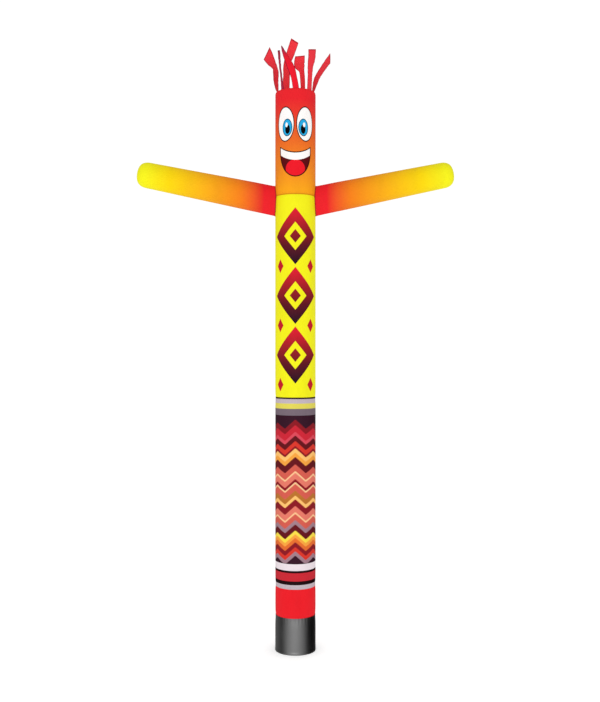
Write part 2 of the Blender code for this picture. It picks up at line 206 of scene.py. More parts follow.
# Colours as they look in even light, 0 to 255. LIGHT_GAIN is how much brighter than its paint the
# front of the cloth is lit, and SHINE the white that its dull shine adds.
LIGHT_GAIN = 1.15
SHINE = 0.005
YELLOW = (244, 240, 30)
RED = (238, 32, 42)
CROWN_RED = (226, 33, 43)
BLACK = (20, 20, 21)
WHITE = (255, 252, 250)
INK = (38, 12, 20)
MAUVE = (196, 182, 190)
SMOKE = (120, 105, 116)
DUST = (70, 68, 64)
FULL_BLACK = (0, 0, 0)
THREAD_SHADE = (30, 10, 12)

# Heights up the tube, and the head's colours there.
HEAD_COLORS = ((5.21, (250, 165, 28)), (5.45, (244, 141, 36)), (5.80, (236, 102, 40)), (6.05, (233, 60, 45)),
               (6.22, (235, 38, 46)))

# Distances along the arm from the tube's axis, and the arm's colours there.
ARM_COLORS = ((0.37, (237, 36, 46)), (0.64, (243, 128, 28)), (1.05, (247, 176, 24)), (1.45, (249, 214, 12)),
              (1.72, YELLOW))

# A darker band along the head's lower edge, painted shade where the head laps over the torso, and a darker
# ring round each arm's root, which show as thin lines.
HEAD_EDGE = 0.014
HEAD_EDGE_SHADE_COLOR = (222, 146, 20)
ARM_EDGE = 0.008
ARM_EDGE_COLOR = (168, 26, 40)

# The streamers' cloths: colour, the colour of the painted shade along the edges and the end, the
# colour of the painted shade that the tip runs to if it does, and the streamers cut from each. The
# edge and end bands and the tip's run are shares of a streamer's width and length.
HAIR_CLOTHS = {
    "hair_red": ((240, 58, 70), (176, 30, 44), None, (1, 6, 7)),
    # Painted light: the same red made lighter for streamers 3 and 5, which stand in shade behind the others.
    "hair_red_lit_copy": ((254, 62, 72), (196, 34, 50), None, (3, 5)),
    "hair_deep_red_shaded_tip": ((242, 28, 48), (150, 24, 50), (142, 46, 78), (4,)),
    # Painted shade: the same red made darker for streamer 2, seen edge-on.
    "hair_red_shaded_copy": ((172, 38, 68), (104, 26, 54), None, (2,)),
}
HAIR_EDGE_SHADE = 0.07
HAIR_END_SHADE = 0.025
HAIR_TIP_SHADE_FADE = 0.32

# The printed panel's border bands, from the bottom up: the height where each starts, and its colour.
PRINT_BANDS = (
    (0.735, MAUVE), (0.785, INK), (0.822, (202, 42, 54)), (0.918, INK), (0.944, (236, 224, 230)),
    (1.016, INK), (2.674, SMOKE), (2.752, (226, 214, 92)), (2.808, MAUVE), (2.856, INK), (2.878, INK),
)

# The zigzag field between the bands: its bands' thicknesses in millimetres and colours, from the top.
# Every second peak is taller, by the tall share of the rise.
FIELD_LOW = 1.024
FIELD_TOP = 2.674
ZIGZAGS_ROUND_TUBE = 6
ZIGZAG_RISE = 0.085
ZIGZAG_TALL_SHARE = 0.5
ZIGZAG_STITCH = 0.0120
NIGHT, MAROON, WINE = (58, 26, 42), (104, 24, 32), (142, 28, 38)
CRIMSON, ROSE, SCARLET = (204, 40, 56), (220, 74, 90), (218, 56, 44)
CORAL, SALMON, CREAM = (214, 94, 80), (230, 122, 104), (250, 200, 148)
GOLD, AMBER, OCHRE = (255, 196, 112), (246, 164, 66), (188, 116, 48)
ORANGE, LEMON, LILAC = (230, 110, 48), (248, 222, 74), (160, 126, 138)
FIELD_BANDS = (
    (80, NIGHT), (60, WINE), (75, CRIMSON), (40, ROSE), (60, MAROON), (55, SCARLET), (30, WINE), (50, GOLD),
    (45, AMBER), (85, MAROON), (70, CORAL), (24, CREAM), (70, SALMON), (30, WINE), (24, CREAM), (70, CORAL),
    (55, OCHRE), (45, GOLD), (75, WINE), (65, SALMON), (24, CREAM), (65, CORAL), (50, LILAC), (70, MAROON),
    (40, LEMON), (40, AMBER), (50, ORANGE), (50, WINE), (50, SCARLET), (50, LILAC), (152, NIGHT),
)

# Tall lozenges up the yellow part, with small ones between them.
LOZENGE_LOW = 3.020
LOZENGE_PITCH = 0.665
LOZENGE_COUNT = 3
LOZENGE_HALF_WIDTH = 0.262
LOZENGE_HALF_HEIGHT = 0.318
LOZENGE_HOLE = 0.50
LOZENGE_HEART = 0.24
LOZENGE_COLORS = ((0.05, (40, 18, 38)), (0.35, (96, 26, 36)), (0.65, (164, 32, 40)), (0.92, (218, 30, 50)))
SMALL_LOZENGE_PLACE = 0.190
SMALL_LOZENGE_HALF_WIDTH = 0.048
SMALL_LOZENGE_HALF_HEIGHT = 0.078
SMALL_LOZENGE_COLOR = (196, 28, 42)

# The printed face. Each mark is an ellipse: its middle across and up the cloth, and its half sizes.
EYE_MARKS = {
    "outline": (0.118, 5.935, 0.108, 0.197, INK),
    "white": (0.118, 5.935, 0.098, 0.185, WHITE),
    "iris edge": (0.094, 5.895, 0.060, 0.098, (16, 62, 92)),
    "iris": (0.094, 5.895, 0.052, 0.088, (41, 171, 226)),
    "pupil": (0.090, 5.875, 0.029, 0.052, (14, 10, 18)),
    "glint": (0.102, 5.925, 0.015, 0.026, WHITE),
}
MOUTH_MIDDLE = 5.640
MOUTH_HALF_WIDTH = 0.182
MOUTH_DROP = 0.285
MOUTH_CURL = 1.9
MOUTH_LINE = 0.012
LIP_HEIGHT = MOUTH_MIDDLE - 0.03
TEETH_DROP = 0.080
TONGUE = (0.0, 5.435, 0.112, 0.100)
MOUTH_INSIDE = (96, 10, 22)
TONGUE_RED = (238, 28, 42)

# Reinforcing ribs of the ripstop weave: their pitch, their half width as a share of it, how much
# darker they look, and how far they rise.
RIB_PITCH = 0.006
RIB_WIDTH = 0.12
RIB_SHADE = 0.07
RIB_RISE = 0.00012

# The cloth's uneven dye, its rubbed shine and its creases. Each noise has a scale, a detail and its
# stretch up the cloth, and each range says where in it the effect starts and is full.
DYE_NOISE, DYE_RANGE, DYE_SHADE = (7.0, 3.0, 0.35), (0.42, 0.80), 0.06
RUB_NOISE, RUB_RANGE, RUB_ROUGHNESS = (13.0, 3.0, 0.5), (0.35, 0.75), 0.10
CREASE_NOISE = (5.0, 4.0, 0.30)
PRINTED_CREASE, PLAIN_CREASE, COATED_CREASE = 0.006, 0.004, 0.003
DUST_NOISE, DUST_HEIGHT, DUST_SHARE = (16.0, 4.0), 0.05, 0.35
TWIST_NOISE, TWIST_SHARE, THREAD_ROUGHNESS = (900.0, 2.0), 0.4, 0.45

# The maps that say where a point lies on the cloth in metres, and in shares of a streamer.
CLOTH_MAP = "cloth"
STRIP_MAP = "strip"

# A mix node's own numbers for its two inputs and its output, for each kind of value.
MIX_PLACES = {"FLOAT": (2, 3, 0), "RGBA": (6, 7, 2)}

# The camera: near the height of the whole figure's middle, a little to the right of its axis.
CAMERA_PLACE = (0.0519, -10.3, 3.398)
CAMERA_LENS = 46.33
CAMERA_SENSOR = 36.0

# The softboxes: place, width and height, and radiance.
SOFTBOXES = (
    ("key", (-1.3, -11.6, 3.6), (7.0, 7.0), 2.0),
    ("fill", (5.0, 10.0, 4.5), (6.0, 6.0), 0.8),
)
SOFTBOX_AIM = Vector((0.0, 0.0, 3.0))

# The white surround: how bright it looks, and how bright it lights the cloth. The pale floor.
BACKDROP = 1.04
SURROUND = 0.90
FLOOR_SIZE = 120.0
FLOOR_LOOK = {"Base Color": (0.96, 0.96, 0.96, 1.0), "Emission Color": (1.0, 1.0, 1.0, 1.0),
              "Emission Strength": 0.25, "Roughness": 0.9, "Specular IOR Level": 0.1}

# What glossy cloth mirrors: a wide glow low in front of the dancer, and a faint one low at the back
# left. Each is a direction, the cosine from it where the glow ends, and its strength.
GLOWS = (((-0.060, -0.954, -0.292), 0.3, 1.13), ((-0.478, 0.828, -0.292), 0.2, 0.31))


# ---------------------------------------------------------------- walls

def smooth_step(value):
    """0 to 1 with soft ends, for a value clipped to 0 to 1."""
    value = np.clip(value, 0.0, 1.0)
    return value * value * (3.0 - 2.0 * value)


def unit(vectors):
    """The vectors, one a row, each made 1 long."""
    return vectors / np.linalg.norm(vectors, axis=1, keepdims=True)


def around(turn, reach, height):
    """Points round the tube's axis. Turn is measured from the front, towards +X."""
    return np.stack(np.broadcast_arrays(reach * np.sin(turn), -reach * np.cos(turn), height), axis=-1)


def wall_draw(height):
    """How far the blown-up wall is drawn in at this height."""
    draw = np.zeros_like(height)
    for seam in SEAMS:
        draw += SEAM_DRAW * np.exp(-((height - seam) / SEAM_SPREAD) ** 2)
    lift = np.clip((height - TUBE_TOP) / SHOULDER_HEIGHT + 1.0, 0.0, 1.0)
    return draw + SHOULDER_DRAW * (1.0 - np.sqrt(1.0 - lift * lift))


def puckers(turn, away, kind, seed):
    """How deep the uneven gathers are, at a distance from their seam.

    Slow waves, a whole number of them round the seam, change their strength, spacing and length.
    """
    count, depth, reach, start = kind
    strength = 0.55 + 0.25 * np.sin(3 * turn + seed) + 0.20 * np.sin(7 * turn + 2.3 * seed)
    wave = 0.5 - 0.5 * np.cos(count * turn + 1.4 * np.sin(2 * turn + seed) + seed)
    length = reach * (0.7 + 0.5 * np.sin(5 * turn + 1.7 * seed) ** 2)
    fold = depth * (strength * wave * np.exp(-np.abs(away) / length))
    return fold * smooth_step(away / start) if start else fold


def billow(first, second):
    """How far the wall billows in, where two crossing waves are in these phases."""
    return BILLOW_DEPTH * (0.5 + 0.5 * (np.sin(first) * np.sin(second)))


def back_seam(from_middle):
    """How far the felled back seam stands out, at a distance round from its middle."""
    return BACK_SEAM_RISE * smooth_step((BACK_SEAM_HALF + BACK_SEAM_EDGE - from_middle) / BACK_SEAM_EDGE)


def from_arm(turn, height):
    """For points of the tube's wall: distance out from the nearer arm's root edge, and turn round it."""
    deep = -TUBE_RADIUS * np.cos(turn)
    lift = (height - ARM_MEET_HEIGHT) * ARM_COS - np.abs(TUBE_RADIUS * np.sin(turn)) * ARM_SIN
    side = deep / ARM_ROOT_FLATNESS
    scale = np.hypot(side, lift) / ARM_ROOT_RADIUS
    return np.hypot(deep, lift) * (1.0 - 1.0 / scale), np.arctan2(lift, side)


def wall_relief(turn, height):
    """How far puckers, billows and the back seam move the tube's wall inwards."""
    relief = np.zeros_like(height * turn)
    for seed, seam in enumerate((*SEAMS, TUBE_TOP)):
        relief += puckers(turn, height - seam, TUBE_PUCKERS, seed + 0.6)
    away, round_arm = from_arm(turn, height)
    relief += puckers(round_arm, away, WALL_PUCKERS, 1.3)
    relief += billow(3 * turn + 1.1 * height, 2 * turn - 2.3 * height + 0.7)
    return relief - back_seam(TUBE_RADIUS * (math.pi - np.abs(turn)))


def wall_points(turn, height, radius):
    """Points on the tube's wall."""
    return around(turn, radius - wall_draw(height) - wall_relief(turn, height), height)


def with_extra(values, extra, least):
    """The values with some more, leaving out those of the first that come too near one of the second."""
    kept = [value for value in values if np.abs(extra - value).min() > least]
    return np.array(sorted([*kept, *extra]))


def net_turns(start, count, radius):
    """The columns once round a tube, from its back seam to it again, with more at the seam's edges."""
    edges = np.array([BACK_SEAM_HALF, BACK_SEAM_HALF + BACK_SEAM_EDGE]) / radius
    end = start + 2 * math.pi
    even = np.linspace(start, end, count, endpoint=False)
    return with_extra(even, np.concatenate([start + edges, end - edges]), COLUMN_GAP)


def tube_turns():
    """The tube's columns, and how far round the cloth each is, with the way back to the first."""
    turns = net_turns(-math.pi, TUBE_COLUMNS, TUBE_RADIUS)
    return turns, TUBE_RADIUS * np.append(turns, math.pi)


def wall_rows(low, high, marks, extra=()):
    """Heights of the wall's rows, close together near the marks and further apart between them."""
    rows = [low]
    while rows[-1] < high:
        away = min(abs(rows[-1] - mark) for mark in marks)
        rows.append(rows[-1] + min(COARSE_ROW, FINE_ROW + ROW_GROWTH * away))
    return with_extra(np.array(rows[:-1]), np.array([low, high, *extra]), FINE_ROW / 4)


def closed_cloth(name, nets, across, along, poles=()):
    """A closed sheet from an outer and an inner net of points, rows by columns.

    across and along give the cloth's own coordinates of the columns and rows, in metres. Each net
    closes round its columns. poles are the points that close both nets after their last rows.
    """
    rows, columns = nets[0].shape[:2]
    left, right = across[:-1], across[1:]

    def level(row):
        """The cloth's coordinate up its length, for all columns of a row."""
        return np.full(columns, along[row])

    # Rings are numbered through both nets. Faces join each to the next, and the nets at their ends.
    pairs = [(ring, ring + 1) for ring in range(2 * rows - 1) if ring != rows - 1] + [(0, rows)]
    if not poles:
        pairs.append((rows - 1, 2 * rows - 1))
    faces, places = [], []
    for first, second in pairs:
        low, high = level(first % rows), level(second % rows)
        faces += ring_faces(first * columns, second * columns, columns)
        places.append(np.stack([left, low, right, low, right, high, left, high], axis=1).reshape(-1, 2))
    for net in range(len(poles)):
        last = ((net + 1) * rows - 1) * columns
        pole = 2 * rows * columns + net
        low, high = level(rows - 1), level(rows)
        faces += [[near, ahead, pole] for near, ahead, *_ in ring_faces(last, last, columns)]
        places.append(np.stack([left, low, right, low, (left + right) / 2, high], axis=1).reshape(-1, 2))
    points = [np.reshape(net, (-1, 3)) for net in (*nets, *poles)]
    return new_piece(name, np.concatenate(points).tolist(), faces, [(CLOTH_MAP, np.concatenate(places))])


def ring_faces(first, second, count):
    """Faces between two rings of points, from the numbers of each ring's first point."""
    step = np.arange(count)
    ahead = (step + 1) % count
    return np.stack([first + step, first + ahead, second + ahead, second + step], axis=1).tolist()


def new_piece(name, points, faces, maps=()):
    """An object with its faces pointing out, smooth shading but for its rims, and named maps."""
    mesh = bpy.data.meshes.new(name)
    mesh.from_pydata(points, [], faces)
    for layer, places in maps:
        mesh.uv_layers.new(name=layer).uv.foreach_set("vector", np.ravel(places).astype(np.float32))
    work = bmesh.new()
    work.from_mesh(mesh)
    bmesh.ops.recalc_face_normals(work, faces=work.faces)
    work.to_mesh(mesh)
    work.free()
    mesh.shade_smooth()
    mesh.set_sharp_from_angle(angle=SHARP_EDGE)
    return new_object(name, mesh)


def new_object(name, data):
    """An object in the scene."""
    thing = bpy.data.objects.new(name, data)
    bpy.context.collection.objects.link(thing)
    return thing


def sleeve_outside(height):
    """The sleeve's outer radius: thicker at its folded hem, whose lower edge is round."""
    step = smooth_step((HEM_HEIGHT + HEM_STEP - height) / HEM_STEP)
    drop = (1.0 - height / HEM_ROUND).clip(0.0)
    fold = HEM_ROUND * (1.0 - np.sqrt(np.clip(1.0 - drop ** 2, 0.0, 1.0)))
    return SLEEVE_INSIDE + SLEEVE_CLOTH + (HEM_CLOTH - SLEEVE_CLOTH) * step - HEM_ROUND_DEPTH * fold


def tube_outside(height):
    """Outer radius of a panel whose ends lap over its neighbours."""
    return TUBE_RADIUS + 0 * height


def tucked_outside(height):
    """Outer radius of a panel whose ends tuck inside its neighbours: smaller at the seams."""
    from_seam = np.min([np.abs(height - seam) for seam in SEAMS], axis=0)
    swell = np.clip((from_seam - HALF_LAP) / (SWELL_ROW - HALF_LAP), 0.0, 1.0)
    return TUCKED_OUTSIDE + (TUBE_RADIUS - TUCKED_OUTSIDE) * swell


def tube_cloth(name, low, high, outside, marks, extra, inside):
    """A fine tube of cloth between two heights, open at both ends. Its wall is even if no inside is given."""
    turns, across = tube_turns()
    rows = wall_rows(low, high, marks, extra)
    height = rows[:, None]
    outer = outside(height)
    nets = [wall_points(turns[None, :], height, radius) for radius in (outer, inside or outer - CLOTH)]
    return closed_cloth(name, nets, across, rows)


def crown_height(radius):
    """Height of the domed crown's upper side at a distance from the axis."""
    rise = CROWN_TOP - CROWN_LOW - CLOTH
    return CROWN_LOW + CLOTH + rise * (1.0 - (radius / CROWN_RADIUS) ** 2)


def crown_cloth():
    """The domed disc that closes the tube, gathered a little at its sewn edge."""
    turns, across = tube_turns()
    radii = CROWN_RADIUS * np.array(CROWN_RINGS)
    turn, radius = turns[None, :], radii[:, None]
    gather = puckers(turn, CROWN_RADIUS - radius, CROWN_PUCKERS, 3.0)
    nets = [around(turn, radius, crown_height(radius) - drop - gather) for drop in (0.0, CLOTH)]
    poles = [(0.0, 0.0, crown_height(0.0) - drop) for drop in (0.0, CLOTH)]
    return closed_cloth("crown_cloth", nets, across, np.append(CROWN_RADIUS - radii, CROWN_RADIUS), poles)


# ---------------------------------------------------------------- arms

def arm_flatness(along):
    """The arm's depth from front to back as a share of its height, at a distance along its axis."""
    swell = smooth_step((along - ARM_TAPER_START) / ARM_SWELL_REACH)
    return ARM_ROOT_FLATNESS + (1.0 - ARM_ROOT_FLATNESS) * swell


def arm_points(sign, along, radius, depth, turn):
    """Points on an arm: along its axis, and round it from the +Y side upwards."""
    side = depth * np.cos(turn)
    lift = radius * np.sin(turn)
    reach = along * ARM_COS - lift * ARM_SIN
    height = ARM_MEET_HEIGHT + along * ARM_SIN + lift * ARM_COS
    return np.stack([sign * reach, side, height], axis=-1)


def arm_radius(along):
    """Plain outer radius of an arm at a distance along its axis from the tube's axis."""
    share = (along - ARM_TAPER_START) / (ARM_TUBE_END - ARM_TAPER_START)
    return ARM_ROOT_RADIUS + (ARM_END_RADIUS - ARM_ROOT_RADIUS) * share


def arm_root(turn, inset):
    """Where the arm's wall meets the tube's drawn-in wall, along the arm's axis."""
    side = (ARM_ROOT_RADIUS * ARM_ROOT_FLATNESS - inset) * np.cos(turn)
    lift = (ARM_ROOT_RADIUS - inset) * np.sin(turn)
    along = np.full_like(turn, ARM_TAPER_START)
    for _ in range(ARM_ROOT_PASSES):
        height = ARM_MEET_HEIGHT + along * ARM_SIN + lift * ARM_COS
        seat = TUBE_RADIUS - wall_draw(height) + SEAT_GAP
        along = (np.sqrt(seat ** 2 - side ** 2) + lift * ARM_SIN) / ARM_COS
    return along


def arm_swell(along, turn, from_root, seed):
    """The arm's outer radius with its flared root, puckers, slow billows and back seam."""
    radius = arm_radius(along) + ARM_FLARE * np.exp(-from_root / ARM_FLARE_REACH)
    radius -= puckers(turn, from_root, ARM_PUCKERS, seed)
    radius -= puckers(turn, ARM_TUBE_END + ARM_END_RADIUS - along, TIP_PUCKERS, seed + 1.0)
    radius -= billow(2 * turn + 3.1 * along + seed, 3 * turn - 4.3 * along)
    return radius + back_seam(ARM_END_RADIUS * np.minimum(turn, 2 * math.pi - turn))


def arm_rows():
    """Shares of the way from an arm's root to its tube's end, and of the way over its tip."""
    length = ARM_TUBE_END - ARM_TAPER_START
    tube = wall_rows(0.0, length, (0.0, length)) / length
    tip = np.sin(math.pi / 2 * np.arange(1, ARM_TIP_ROWS) / ARM_TIP_ROWS)
    return tube, tip


def arm_net(sign, turn, inset, seed):
    """Rows of points of one side of an arm's wall, and the tip's last point."""
    tube, tip = (shares[:, None] for shares in arm_rows())
    turn = turn[None, :]
    root = arm_root(turn, inset)
    along = root + (ARM_TUBE_END - root) * tube
    radius = arm_swell(along, turn, along - root, seed)
    rings = [arm_points(sign, along, radius - inset, radius * arm_flatness(along) - inset, turn)]
    end = ARM_TUBE_END + (ARM_END_RADIUS - inset) * tip + 0 * turn
    full = arm_swell(end, turn, end - root, seed) - (arm_radius(end) - ARM_END_RADIUS) - inset
    flat = full * (1.0 - tip ** ARM_TIP_FULLNESS) ** (1.0 / ARM_TIP_FULLNESS)
    rings.append(arm_points(sign, end, flat, flat, turn))
    return np.concatenate(rings), arm_points(sign, ARM_TUBE_END + ARM_END_RADIUS - inset, 0.0, 0.0, 0.0)


def arm_cloth(name, seed):
    """One arm: a closed sheet from its open root to its round tip."""
    turn = net_turns(0.0, ARM_COLUMNS, ARM_END_RADIUS)
    nets, poles = zip(*(arm_net(ARM_SIGNS[name], turn, inset, seed) for inset in (0.0, CLOTH)))
    tube, tip = arm_rows()
    along = ARM_TAPER_START + (ARM_TUBE_END - ARM_TAPER_START) * tube
    over = ARM_TUBE_END + ARM_END_RADIUS * np.append(np.arcsin(tip), math.pi / 2)
    across = ARM_END_RADIUS * np.append(turn, 2 * math.pi)
    return closed_cloth(name + "_cloth", nets, across, np.concatenate([along, over]), poles)


def cut_arm_holes(thing):
    """Opens the tube's wall inside each arm."""
    turn = np.linspace(0.0, 2 * math.pi, ARM_COLUMNS, endpoint=False)
    radius = ARM_ROOT_RADIUS - ARM_HOLE_MARGIN
    depth = ARM_ROOT_RADIUS * ARM_ROOT_FLATNESS - ARM_HOLE_MARGIN
    ends = np.arange(2 * ARM_COLUMNS).reshape(2, -1).tolist()
    faces = ring_faces(0, ARM_COLUMNS, ARM_COLUMNS) + ends
    cutters = []
    for name, sign in ARM_SIGNS.items():
        rings = [arm_points(sign, along, radius, depth, turn) for along in ARM_HOLE_SPAN]
        cutters.append(new_piece("hole_" + name, np.concatenate(rings).tolist(), faces))
        modifier = thing.modifiers.new(name, "BOOLEAN")
        modifier.operation = "DIFFERENCE"
        modifier.solver = "EXACT"
        modifier.object = cutters[-1]
    seen = thing.evaluated_get(bpy.context.evaluated_depsgraph_get())
    cut = bpy.data.meshes.new_from_object(seen)
    thing.modifiers.clear()
    thing.data = cut
    for cutter in cutters:
        bpy.data.objects.remove(cutter, do_unlink=True)


# ---------------------------------------------------------------- streamers

def smooth_between(before, start, end, after, share):
    """A row on the smooth curve from start to end, with the slopes that their neighbours give."""
    return Row(*(
        b + 0.5 * share * (c - a + share * (2 * a - 5 * b + 4 * c - d + share * (3 * (b - c) + d - a)))
        for a, b, c, d in zip(before, start, end, after)))


def streamer_run(number):
    """The streamer's rows from root to end, smoothed between the rows of its table."""
    width = STREAMER_PLACES[number].root
    root_rise = crown_height(STREAMER_RING - STREAMER_CLOTH) + SEAT_GAP - TUBE_TOP
    root = Row(root_rise, 0.0, 0.0, 0.0, width, width ** 2 / (8 * STREAMER_RING))
    table = [Row(*np.divide(row, ROW_UNITS)) for row in STREAMER_ROWS[number]]
    knots = [root, root._replace(rise=STREAMER_RIM_HOLD), *table]
    padded = [knots[0], *knots, knots[-1]]
    run = [root]
    for index in range(len(knots) - 1):
        steps = STREAMER_RIM_STEPS if index == 0 else STREAMER_STEPS_A_SPAN
        run += [smooth_between(*padded[index:index + 4], step / steps) for step in range(1, steps + 1)]
    return run


def streamer_cloth(number):
    """One strip of cloth that stands up from the rim, twists, and bends over; its flat size and area."""
    angle, _, slant = STREAMER_PLACES[number]
    angle = math.radians(angle)
    foot = Vector((STREAMER_RING * math.sin(angle), -STREAMER_RING * math.cos(angle), TUBE_TOP))
    run = streamer_run(number)
    centres = [foot + Vector((row.sway, row.lean, row.rise)) for row in run]
    steps = [(b - a).length for a, b in zip(centres, centres[1:])]
    travelled = np.concatenate([[0.0], np.cumsum(steps)])
    shares = np.linspace(-0.5, 0.5, STREAMER_ACROSS + 1)
    rings = []
    for index, row in enumerate(run):
        ahead = centres[min(index + 1, len(run) - 1)]
        behind = centres[max(index - 1, 0)]
        run_way = Vector((0.0, 0.0, 1.0)) if index == 0 else (ahead - behind).normalized()
        facing = angle + math.radians(row.turn)
        across = Vector((math.cos(facing), math.sin(facing), 0.0))
        across = (across - run_way * across.dot(run_way)).normalized()
        outward = across.cross(run_way)
        gone = travelled[index] / travelled[-1]
        cut = max(0.0, (gone - SLANT_START) / (1.0 - SLANT_START))
        front, back = [], []
        for share in shares:
            phase = (2 * math.pi * travelled[index] / RIPPLE_LENGTH + RIPPLE_SHIFT * number
                     + RIPPLE_SKEW * share)
            phase += RIPPLE_UNEVENNESS * math.sin(RIPPLE_WANDER * phase)
            ripple = RIPPLE_DEPTH * math.sin(phase) * (2 * share) ** 2 * min(1.0, 3 * gone)
            middle = centres[index] + across * share * row.width
            middle += outward * (ripple - row.cup * 4 * share * share)
            middle += run_way * slant * share * row.width * cut
            front.append(middle + outward * STREAMER_CLOTH / 2)
            back.append(middle - outward * STREAMER_CLOTH / 2)
        rings.append(front + back[::-1])
    widths = np.array([row.width for row in run])
    area = float(np.sum(np.diff(travelled) * (widths[1:] + widths[:-1]) / 2))
    strip = strip_cloth(f"streamer_{number}_cloth", rings, shares, widths, travelled)
    return strip, (float(widths.max()), float(travelled[-1])), area


def strip_cloth(name, rings, shares, widths, travelled):
    """A closed strip from rings of points, with the cloth's coordinates and the strip's own shares."""
    size = 2 * len(shares)
    end = (len(rings) - 1) * size
    faces = []
    for start in range(0, end, size):
        faces += ring_faces(start, start + size, size)
    for start in (0, end):
        faces += [[start + step, start + step + 1, start + size - 2 - step, start + size - 1 - step]
                  for step in range(len(shares) - 1)]
    index, step = np.divmod(np.ravel(faces), size)
    share = np.concatenate([shares, shares[::-1]])[step]
    maps = ((CLOTH_MAP, np.stack([share * widths[index], travelled[index]], axis=1)),
            (STRIP_MAP, np.stack([share, travelled[index] / travelled[-1]], axis=1)))
    return new_piece(name, [tuple(point) for ring in rings for point in ring], faces, maps)


# ---------------------------------------------------------------- stitches

def stitch_rows(name, paths):
    """Rows of thread: on each path, short raised grains that follow it. Each path is (points, normals)."""
    grain = np.array([(-0.5, 0.0, -0.2), (-0.2, -0.5, 0.0), (-0.2, 0.5, 0.0), (-0.2, 0.0, 0.6),
                      (0.2, -0.5, 0.0), (0.2, 0.5, 0.0), (0.2, 0.0, 0.6), (0.5, 0.0, -0.2)])
    grain = grain * (STITCH_LENGTH, STITCH_WIDTH, STITCH_WIDTH)
    shapes = np.array([(0, 1, 3), (0, 3, 2), (0, 2, 1), (1, 4, 6), (1, 6, 3), (3, 6, 5), (3, 5, 2),
                       (2, 5, 4), (2, 4, 1), (7, 6, 4), (7, 5, 6), (7, 4, 5)])
    points, faces = [], []
    count = 0
    for path, normals in paths:
        gone = np.concatenate([[0.0], np.cumsum(np.linalg.norm(np.diff(path, axis=0), axis=1))])
        at = np.arange(STITCH_PITCH / 2, gone[-1], STITCH_PITCH)
        way = unit(sample(path, gone, at + STITCH_LENGTH / 2) - sample(path, gone, at - STITCH_LENGTH / 2))
        side = unit(np.cross(sample(normals, gone, at), way))
        basis = np.stack([way, side, np.cross(way, side)], axis=1)
        placed = sample(path, gone, at)[:, None, :] + np.einsum("gk,nkj->ngj", grain, basis)
        points.append(placed.reshape(-1, 3))
        starts = count + len(grain) * np.arange(len(at))
        faces.append((starts[:, None, None] + shapes[None]).reshape(-1, 3))
        count += len(grain) * len(at)
    return new_piece(name, np.concatenate(points).tolist(), np.concatenate(faces).tolist())


def sample(values, gone, at):
    """A path's points or normals at these distances along it."""
    return np.stack([np.interp(at, gone, column) for column in values.T], axis=1)


def tube_paths(outside, low, high, rings):
    """Stitches round the tube at the rings' heights, and the two rows along its back seam."""
    once_round = np.linspace(-math.pi, math.pi, 4 * TUBE_COLUMNS)
    runs = [(once_round, np.full_like(once_round, height)) for height in rings]
    height = np.arange(low, high, STITCH_SAMPLING)
    for side in (-1.0, 1.0):
        runs.append((np.full_like(height, side * (math.pi - BACK_STITCH_OFFSET / TUBE_RADIUS)), height))
    for turn, height in runs:
        yield wall_points(turn, height, outside(height)), around(turn, 1.0, 0.0)


def arm_paths(sign, seed):
    """Stitches round an arm's root and along its back seam."""
    once_round = np.linspace(0.0, 2 * math.pi, 4 * ARM_COLUMNS)
    runs = [(once_round, arm_root(once_round, 0.0) + STITCH_OFFSET)]
    along = np.arange(ARM_TAPER_START + ARM_STITCH_START, ARM_TUBE_END, STITCH_SAMPLING)
    for side in (-1.0, 1.0):
        runs.append((np.full_like(along, side * BACK_STITCH_OFFSET / ARM_END_RADIUS % (2 * math.pi)), along))
    for turn, along in runs:
        radius = arm_swell(along, turn, along - arm_root(turn, 0.0), seed)
        points = arm_points(sign, along, radius, radius * arm_flatness(along), turn)
        yield points, unit(points - arm_points(sign, along, 0.0, 0.0, turn))


def seam_pair(seam):
    """The heights of the two rows of stitches along a lapped seam."""
    return seam - STITCH_OFFSET, seam + STITCH_OFFSET


# ---------------------------------------------------------------- materials

def put(tree, socket, value):
    """Sets a node's input to a number or colour, or links it to a field or another node's output."""
    value = value.socket if isinstance(value, Field) else value
    if isinstance(value, bpy.types.NodeSocket):
        tree.links.new(value, socket)
    else:
        socket.default_value = value


def add_node(tree, kind, inputs=(), **settings):
    """A node with its settings, and its inputs set or linked in order, or by their names or numbers."""
    node = tree.nodes.new("ShaderNode" + kind)
    for name, value in settings.items():
        setattr(node, name, value)
    for place, value in inputs.items() if isinstance(inputs, dict) else enumerate(inputs):
        put(tree, node.inputs[place], value)
    return node


def add_field(tree, kind, inputs=(), output=0, **settings):
    """One output of a new node, as a field."""
    return Field(tree, add_node(tree, kind, inputs, **settings).outputs[output])


def mix_fields(tree, kind, share, under, over):
    """One number or colour over another."""
    first, second, output = MIX_PLACES[kind]
    return add_field(tree, "Mix", {0: share, first: under, second: over}, output, data_type=kind)


class Field:
    """A value that nodes work out. It is reckoned with as a number is, and a comparison gives 1 or 0."""

    def __init__(self, tree, socket):
        self.tree, self.socket = tree, socket

    def calc(self, operation, *others):
        """One step of arithmetic."""
        return add_field(self.tree, "Math", (self, *others), operation=operation)

    def ease(self, low, high):
        """0 to 1 as the value goes from low to high, with soft ends."""
        return add_field(self.tree, "MapRange", (self, low, high), interpolation_type="SMOOTHSTEP")

    def __rsub__(self, number):
        return add_field(self.tree, "Math", (number, self), operation="SUBTRACT")

    __add__ = partialmethod(calc, "ADD")
    __sub__ = partialmethod(calc, "SUBTRACT")
    __mul__ = partialmethod(calc, "MULTIPLY")
    __truediv__ = partialmethod(calc, "DIVIDE")
    __lt__ = partialmethod(calc, "LESS_THAN")
    __gt__ = partialmethod(calc, "GREATER_THAN")
    __abs__ = partialmethod(calc, "ABSOLUTE")


def new_material(name):
    """An empty material with nodes."""
    material = bpy.data.materials.new(name)
    material.use_nodes = True
    return material


def set_shader(material, look):
    """Sets or links the inputs of a material's shader."""
    shader = material.node_tree.nodes["Principled BSDF"]
    for name, value in look.items():
        put(material.node_tree, shader.inputs[name], value)
    return material


